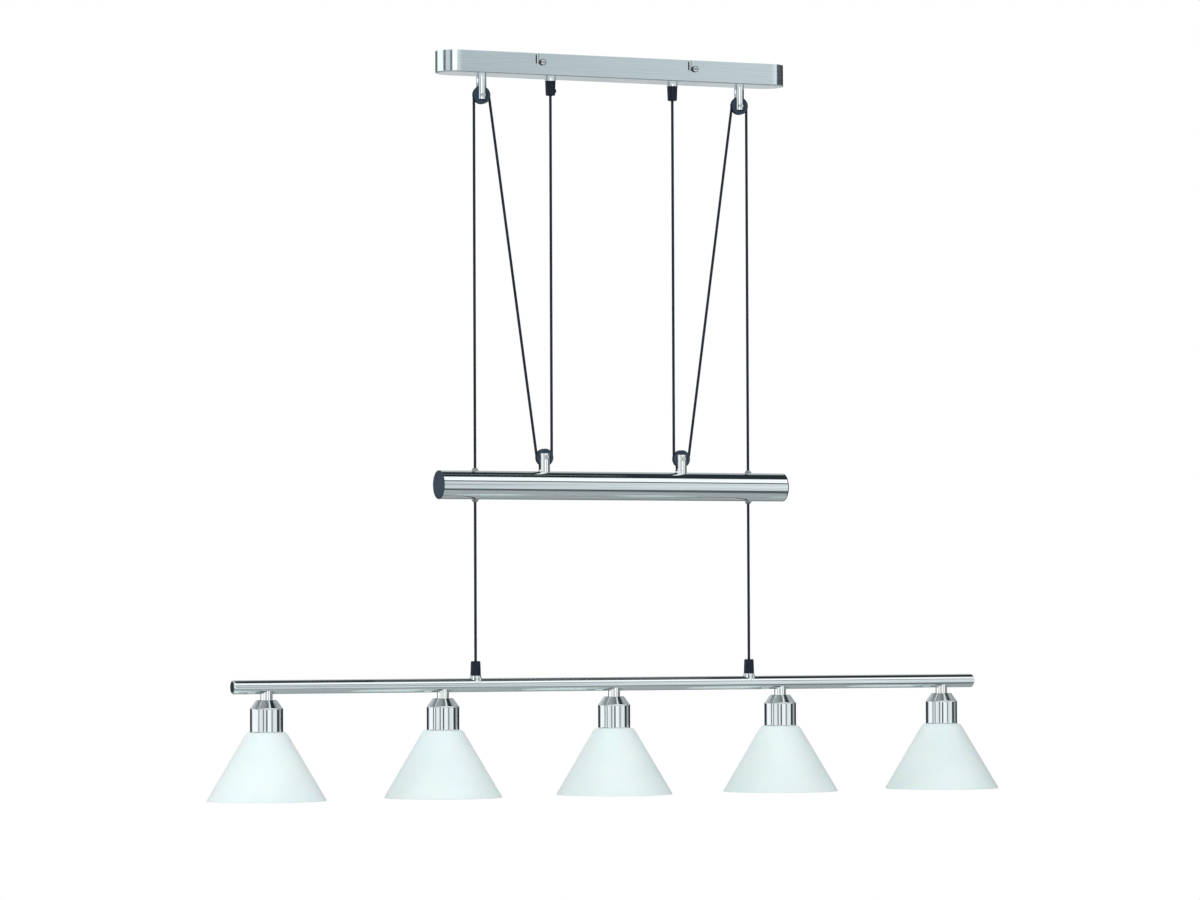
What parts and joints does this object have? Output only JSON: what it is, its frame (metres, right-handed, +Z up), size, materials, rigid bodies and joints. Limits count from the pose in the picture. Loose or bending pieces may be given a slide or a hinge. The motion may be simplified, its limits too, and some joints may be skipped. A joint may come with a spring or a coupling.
{
  "type": "rise and fall pendant",
  "caption": "Rise and fall pendant: a long canopy carries a lamp bar with opal glass cone shades on cords that run over pulleys and through a balancing tube.",
  "frame": {"origin": "on the ceiling, at the middle of the canopy's bracket", "axes": "+X along the lamp bar, +Y from the front of the canopy to its back, +Z up"},
  "size_m": [1.065, 0.145, 0.9172],
  "materials": {
    "nickel": "satin nickel plating, fine grain along the tubes",
    "bright_metal": "bright nickel plating",
    "screw_steel": "turned steel, nickel plated",
    "black_steel": "blackened steel",
    "zinc_steel": "zinc-plated steel",
    "black_plastic": "black moulded plastic, slight sheen",
    "white_plastic": "white moulded thermoplastic",
    "clear_plastic": "clear moulded plastic",
    "cord_sheath": "smooth black cord sheath",
    "opal_glass": "opal white blown glass, smooth"
  },
  "bodies": {
    "canopy": {"canopy_cover": "nickel", "mounting_bracket": "zinc_steel", "cover_screws": "screw_steel", "connector_block": "white_plastic", "canopy_nuts": "screw_steel", "upper_post_left": "bright_metal", "upper_post_right": "bright_metal", "upper_axles": "screw_steel", "canopy_collars": "bright_metal", "canopy_gland_left": "black_plastic", "canopy_gland_right": "black_plastic", "canopy_clamp_screws": "black_steel", "canopy_leads": "cord_sheath", "cord_upper_wraps": "cord_sheath", "cord_fall_left": "cord_sheath", "cord_fall_right": "cord_sheath", "cord_diagonal_left": "cord_sheath", "cord_diagonal_right": "cord_sheath", "cord_drop_left": "cord_sheath", "cord_drop_right": "cord_sheath"},
    "counterweight": {"weight_tube": "nickel", "weight_cores": "zinc_steel", "weight_cap_left": "black_plastic", "weight_cap_right": "black_plastic", "cord_bushes_left": "clear_plastic", "cord_bushes_right": "clear_plastic", "lower_post_left": "bright_metal", "lower_post_right": "bright_metal", "lower_axles": "screw_steel", "cord_lower_wraps": "cord_sheath"},
    "lamp_bar": {"bar_tube": "nickel", "bar_cap_left": "bright_metal", "bar_cap_right": "bright_metal", "bar_collars": "bright_metal", "bar_gland_left": "black_plastic", "bar_gland_right": "black_plastic", "bar_clamp_screws": "black_steel", "lamp_wiring": "cord_sheath", "lamp_necks": "bright_metal", "neck_nuts": "screw_steel", "shade_rings": "white_plastic", "cup_1": "bright_metal", "lampholder_1": "white_plastic", "shade_1": "opal_glass", "cup_2": "bright_metal", "lampholder_2": "white_plastic", "shade_2": "opal_glass", "cup_3": "bright_metal", "lampholder_3": "white_plastic", "shade_3": "opal_glass", "cup_4": "bright_metal", "lampholder_4": "white_plastic", "shade_4": "opal_glass", "cup_5": "bright_metal", "lampholder_5": "white_plastic", "shade_5": "opal_glass"},
    "upper_pulley_left": {"upper_pulley_left": "black_plastic"},
    "upper_pulley_right": {"upper_pulley_right": "black_plastic"},
    "lower_pulley_left": {"lower_pulley_left": "black_plastic"},
    "lower_pulley_right": {"lower_pulley_right": "black_plastic"}
  },
  "joints": [
    {"name": "bar_slide", "type": "slide", "parent": "canopy", "child": "lamp_bar", "axis": [0, 0, 1], "range_m": [-0.6, 0.125], "deforming": ["cord_drop_left", "cord_drop_right"]},
    {"name": "counterweight_slide", "type": "slide", "parent": "canopy", "child": "counterweight", "axis": [0, 0, 1], "range_m": [-0.0625, 0.3], "deforming": ["cord_fall_left", "cord_fall_right", "cord_diagonal_left", "cord_diagonal_right"]},
    {"name": "upper_pulley_left_spin", "type": "hinge", "parent": "canopy", "child": "upper_pulley_left", "pos_m": [-0.1765, 0, -0.0525], "axis": [0, 1, 0], "range_deg": [-3440, 720]},
    {"name": "upper_pulley_right_spin", "type": "hinge", "parent": "canopy", "child": "upper_pulley_right", "pos_m": [0.1765, 0, -0.0525], "axis": [0, 1, 0], "range_deg": [-720, 3440]},
    {"name": "lower_pulley_left_spin", "type": "hinge", "parent": "counterweight", "child": "lower_pulley_left", "pos_m": [-0.0935, 0, -0.49925], "axis": [0, 1, 0], "range_deg": [-360, 1720]},
    {"name": "lower_pulley_right_spin", "type": "hinge", "parent": "counterweight", "child": "lower_pulley_right", "pos_m": [0.0935, 0, -0.49925], "axis": [0, 1, 0], "range_deg": [-1720, 360]}
  ],
  "couplings": [
    {"joint": "counterweight_slide", "follows": "bar_slide", "ratio": -0.5},
    {"joint": "upper_pulley_left_spin", "follows": "bar_slide", "rad_per_m": 100},
    {"joint": "upper_pulley_right_spin", "follows": "bar_slide", "rad_per_m": -100},
    {"joint": "lower_pulley_left_spin", "follows": "bar_slide", "rad_per_m": -50},
    {"joint": "lower_pulley_right_spin", "follows": "bar_slide", "rad_per_m": 50}
  ]
}
